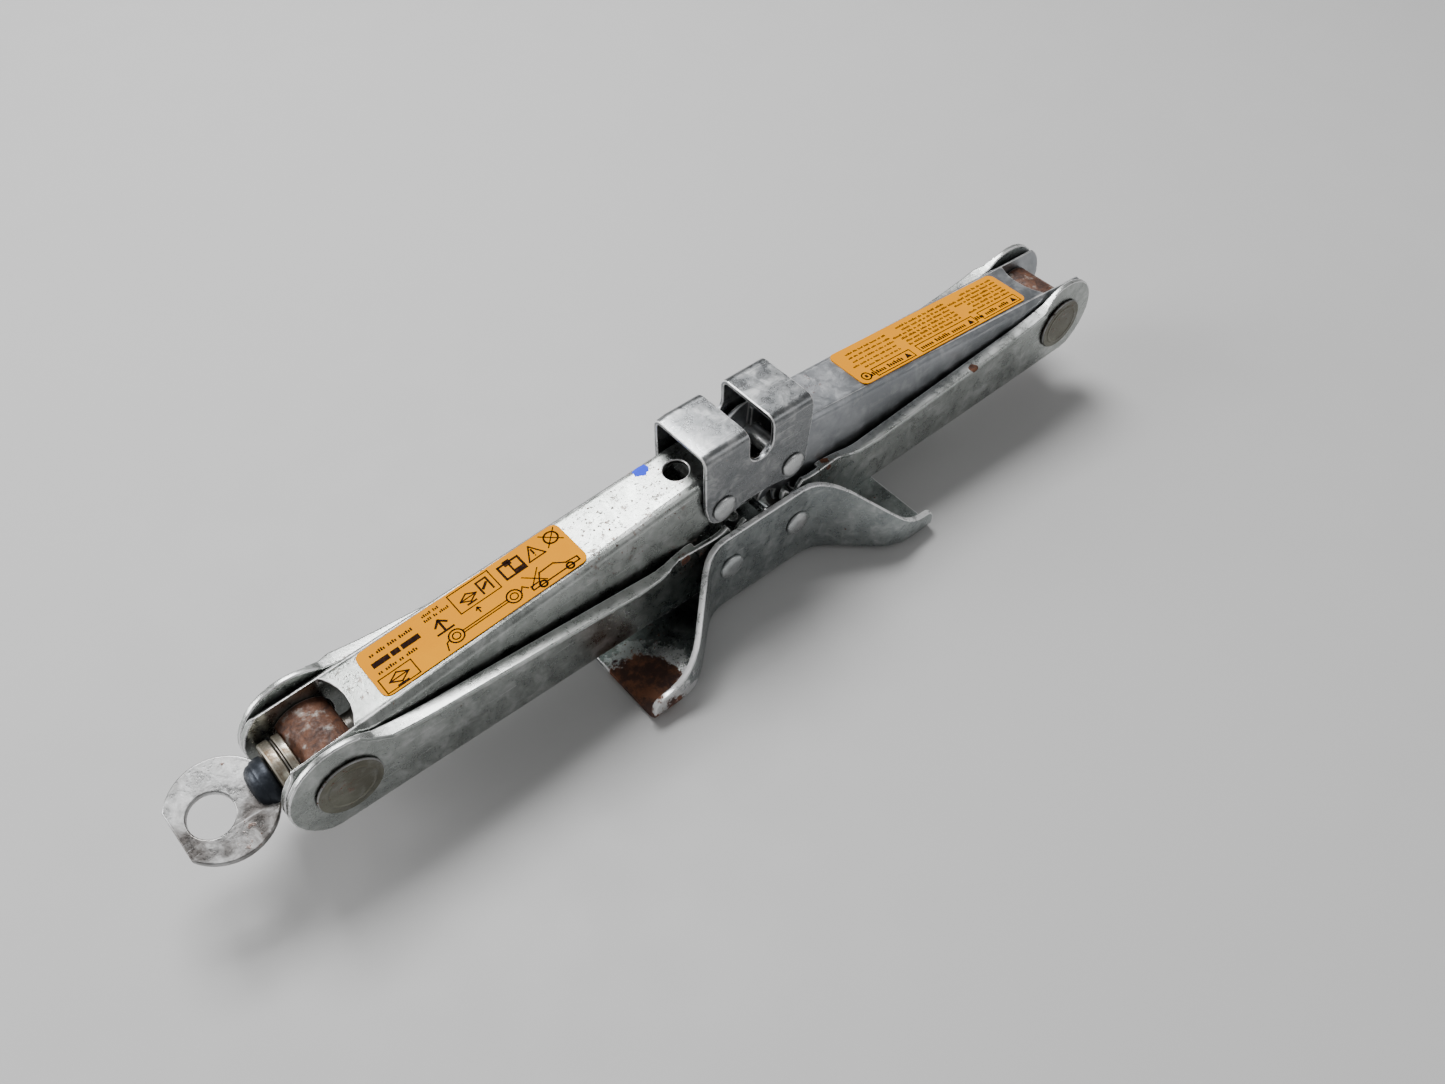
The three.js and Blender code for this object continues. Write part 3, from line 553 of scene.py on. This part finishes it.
def screw_and_shank():
    low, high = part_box("drive_screw")
    axis_z = middle("drive_screw").z
    shoulder = -TRUNNION_X + THREAD_FROM_TRUNNION
    bm = bmesh.new()
    threaded_bar(bm, shoulder, high.x - 0.2 * MM, axis_z)
    lathe(bm, in_metres(SHANK), 32, Vector((low.x + 1 * MM, 0, axis_z)), Vector((1, 0, 0)))
    finish_piece(bm, "threaded_screw", "screw", ["drive_screw"], SCREW)


def collar():
    """A blued collar with a grooved, rounded nose that the eye's plate goes into."""
    base = Vector((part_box("drive_collar")[1].x, 0, middle("drive_collar").z))
    bm = bmesh.new()
    lathe(bm, in_metres(COLLAR_NOSE), 48, base, Vector((-1, 0, 0)))
    finish_piece(bm, "collar_blued", "screw", ["drive_collar"], BLUED, smooth=60)


screw_and_shank()
collar()
rounded_node("drive_eye", "eye_plate", "screw", EYE_ZINC, 0.6, worn=False)
rounded_node("thrust_washer_inner", "washer_inner", "front_trunnion", WASHER, 0.5)
rounded_node("thrust_washer_outer", "washer_outer", "screw", WASHER, 0.6)
rounded_node("thrust_bearing", "bearing_ring", "screw", SCREW, 0.15)


# ---- Labels ---------------------------------------------------------------------------------

LABEL_THICKNESS = 0.3 * MM
INK_THICKNESS = 0.04 * MM
INK_CLEARANCE = 0.005 * MM
STROKE_WEIGHT = 1.45
STROKE_OVERRUN = 0.97  # of half its width, past each end; short of 1, so no corners coincide
DASH_WIDTH = 0.42      # of a dash's height
DASH_PITCH = 0.62      # of a dash's height
DASH_GAP = 0.7         # of a dash's height, added after each group


class Print:
    """Flat marks on a label, in millimetres: u runs along it from its outer end, v across it."""

    def __init__(self, node, outward):
        low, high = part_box(node)
        length = high.x - low.x
        tilt = math.asin((high.z - low.z - LABEL_THICKNESS) / length)
        self.along = Vector((-outward * math.cos(tilt), 0, math.sin(tilt)))
        self.up = Vector((outward * math.sin(tilt), 0, math.cos(tilt)))
        outer = high.x if outward > 0 else low.x
        self.origin = Vector((outer, 0, low.z + LABEL_THICKNESS))
        self.bm = bmesh.new()

    def place(self, u, v, lift):
        return self.origin + self.along * (u * MM) + Vector((0, v * MM, 0)) + self.up * lift

    def patch(self, corners):
        """A closed flat prism over a ring of (u, v) corners."""
        low = [self.bm.verts.new(self.place(u, v, INK_CLEARANCE)) for u, v in corners]
        high = [self.bm.verts.new(self.place(u, v, INK_THICKNESS)) for u, v in corners]
        self.bm.faces.new(low)
        self.bm.faces.new(reversed(high))
        for i in range(len(corners)):
            j = (i + 1) % len(corners)
            self.bm.faces.new((low[i], high[i], high[j], low[j]))

    def block(self, u0, v0, u1, v1):
        """A filled rectangle."""
        self.patch([(u0, v0), (u1, v0), (u1, v1), (u0, v1)])

    def line(self, points, width=0.35, closed=False):
        """Straight strokes between points."""
        width *= STROKE_WEIGHT
        ends = points[1:] + points[:1] if closed else points[1:]
        for (u0, v0), (u1, v1) in zip(points, ends):
            along = Vector((u1 - u0, v1 - v0)).normalized() * width / 2
            across = Vector((-along.y, along.x))
            start = Vector((u0, v0)) - along * STROKE_OVERRUN
            stop = Vector((u1, v1)) + along * STROKE_OVERRUN
            self.patch([start + across, stop + across, stop - across, start - across])

    def frame(self, u0, v0, u1, v1, width=0.3):
        self.line([(u0, v0), (u1, v0), (u1, v1), (u0, v1)], width, closed=True)

    def ring(self, u, v, radius, width=0.4, sides=20):
        angles = [2 * math.pi * i / sides for i in range(sides)]
        self.line([(u + radius * math.cos(a), v + radius * math.sin(a)) for a in angles],
                  width, closed=True)

    def cross(self, u, v, reach, width=0.3):
        self.line([(u - reach, v - reach), (u + reach, v + reach)], width)
        self.line([(u - reach, v + reach), (u + reach, v - reach)], width)

    def caution(self, u, v, size, filled=False):
        """A plain caution triangle, with a stroke and a dot inside unless it is filled."""
        corners = [(u - size, v - size * 0.8), (u + size, v - size * 0.8), (u, v + size)]
        if filled:
            self.patch(corners)
            return
        self.line(corners, 0.4, closed=True)
        self.line([(u, v - size * 0.1), (u, v + size * 0.45)], 0.5)
        self.block(u - 0.25, v - size * 0.5, u + 0.25, v - size * 0.5 + 0.5)

    def rows(self, u0, u1, v0, count, pitch, height, seed):
        """Lines of small unreadable dashes that stand for fine print."""
        chance = Random(seed)
        for row in range(count):
            v = v0 + row * pitch
            u = u0 + chance.uniform(0, 1.2)
            stop = u1 - chance.uniform(0, 0.25 * (u1 - u0))
            while u < stop:
                for _ in range(chance.randint(2, 7)):
                    tall = height * chance.choice((0.7, 0.7, 1.0))
                    self.block(u, v, u + DASH_WIDTH * height, v + tall)
                    u += DASH_PITCH * height
                u += DASH_GAP * height

    def done(self, name, body):
        finish_piece(self.bm, name, body, [], INK)


def scissor_sign(page, u, v, size):
    """A small diamond on a foot: a jack seen from the side."""
    page.line([(u - size, v), (u, v + 0.6 * size), (u + size, v), (u, v - 0.6 * size)], 0.4, True)
    page.line([(u - size, v), (u + size, v)], 0.35)
    page.line([(u - 0.5 * size, v - 0.8 * size), (u + 0.5 * size, v - 0.8 * size)], 0.5)


def left_label():
    page = Print("label_left", -1)
    page.frame(1.6, -9.8, 14.0, -3.2)
    scissor_sign(page, 7.8, -6.4, 3.6)
    page.rows(3, 21, -1.6, 1, 2, 1.4, 1)
    for start, length in ((3.0, 6.5), (10.3, 3.2), (14.3, 7.0)):
        page.block(start, 1.6, start + length, 3.9)
    page.rows(3, 21, 6.2, 1, 2, 1.4, 2)
    page.line([(29.0, -1.0), (29.0, 3.6)], 0.6)
    page.line([(26.8, 1.4), (29.0, 3.6), (31.2, 1.4)], 0.6)
    page.block(25.6, -2.2, 32.4, -1.4)
    page.rows(25, 33, 5.6, 2, 2.2, 1.2, 3)
    page.frame(36.5, 0.2, 53.0, 9.6)
    scissor_sign(page, 42.0, 4.4, 3.2)
    page.line([(47.0, 2.0), (47.0, 7.6), (51.0, 7.6), (51.0, 2.0)], 0.5)
    page.line([(48.0, 4.0), (50.0, 5.6)], 0.7)
    for wheel in (30.5, 54.0):
        page.ring(wheel, -6.0, 2.7)
        page.ring(wheel, -6.0, 1.4, 0.3)
    for level in (-5.6, -6.6):
        page.line([(33.3, level), (51.2, level)], 0.3)
    page.line([(25.5, -9.2), (26.5, -6.4), (27.4, -6.0)], 0.35)
    page.line([(57.0, -6.0), (58.2, -4.6), (59.6, -6.4)], 0.35)
    page.line([(42.0, -3.4), (42.0, -1.0)], 0.35)
    page.line([(41.2, -2.0), (42.0, -1.0), (42.8, -2.0)], 0.35)
    page.frame(56.2, 1.4, 64.4, 7.6, 0.6)
    page.block(60.4, 1.4, 64.4, 3.4)
    page.block(58.6, 6.2, 61.4, 8.8)
    page.line([(60.3, 1.4), (60.3, 7.6)], 0.5)
    page.caution(69.6, 4.8, 3.4)
    page.ring(78.0, 6.0, 2.6, 0.45)
    page.cross(78.0, 6.0, 3.2)
    page.line([(60.5, -6.8), (64.0, -6.8), (66.0, -3.8), (72.0, -3.6), (75.5, -6.4), (80.0, -6.8),
               (80.0, -8.6), (60.5, -8.6)], 0.4, True)
    for wheel in (64.6, 76.0):
        page.ring(wheel, -8.6, 1.3, 0.5)
    page.cross(63.5, -4.6, 3.2)
    page.done("label_left_print", "upper_left")


def right_label():
    page = Print("label_right", 1)
    for start, end, seed in ((3, 27, 11), (31, 66, 12), (70, 92, 13)):
        page.frame(start, -9.8, end, -5.2)
        page.caution(start + 3.0, -7.6, 1.6, filled=True)
        page.rows(start + 6, end + 2, -8.6, 1, 3, 2.0, seed)
    page.ring(96.6, -7.2, 2.0, 0.4)
    page.block(96.0, -8.0, 97.2, -6.4)
    page.rows(3, 31, -3.6, 6, 2.2, 1.15, 21)
    page.rows(34, 67, -3.6, 6, 2.2, 1.15, 22)
    page.rows(71, 98, -3.2, 5, 2.5, 0.9, 23)
    page.done("label_right_print", "upper_right")


for node in ("label_left", "label_right"):
    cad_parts[node].data.materials.clear()
    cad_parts[node].data.materials.append(FOIL)
left_label()
right_label()


# ---- Floor, light and camera ----------------------------------------------------------------

FLOOR_HALF = 6.0
CAMERA_PLACE = (-0.21604, -0.23986, 0.39184)
CAMERA_TURN_DEGREES = (40.029, -0.623, -40.674)
CAMERA_LENS = 30.03
ROOM_GREY = 0.6
ROOM_STRENGTH = 0.48


def floor():
    f = Finish("pale_floor")
    f.surface(base_color=f.mix(f.noise(3, 3), grey(0.5), grey(0.53)),
              roughness=f.step(f.noise(40, 3), 0.3, 0.7, 0.55, 0.65))
    mesh = bpy.data.meshes.new("floor")
    corners = [(x * FLOOR_HALF, y * FLOOR_HALF, 0) for x, y in ((-1, -1), (1, -1), (1, 1), (-1, 1))]
    mesh.from_pydata(corners, [], [(0, 1, 2, 3)])
    mesh.materials.append(f.material)
    plane = bpy.data.objects.new("floor", mesh)
    bpy.context.scene.collection.objects.link(plane)


def soft_light(name, direction, distance, size, power):
    """A square area light that looks at the jack from a direction."""
    data = bpy.data.lights.new(name, "AREA")
    data.shape = "SQUARE"
    data.size = size
    data.energy = power
    lamp = bpy.data.objects.new(name, data)
    towards = Vector(direction).normalized()
    lamp.location = towards * distance
    lamp.rotation_euler = towards.to_track_quat("Z", "Y").to_euler()
    bpy.context.scene.collection.objects.link(lamp)


floor()
soft_light("overhead", (0.12, 0.46, 0.88), 1.6, 0.7, 31)
soft_light("side", (-0.78, 0.46, 0.42), 2.2, 1.0, 34)
soft_light("front", (0.43, -0.77, 0.5), 2.4, 0.9, 5)
world = bpy.data.worlds.new("soft_room")
world.use_nodes = True
world.node_tree.nodes["Background"].inputs["Color"].default_value = grey(ROOM_GREY)
world.node_tree.nodes["Background"].inputs["Strength"].default_value = ROOM_STRENGTH
bpy.context.scene.world = world

camera = bpy.data.objects.new("camera", bpy.data.cameras.new("camera"))
camera.data.lens = CAMERA_LENS
camera.location = CAMERA_PLACE
camera.rotation_euler = [math.radians(a) for a in CAMERA_TURN_DEGREES]
bpy.context.scene.collection.objects.link(camera)
bpy.context.scene.camera = camera
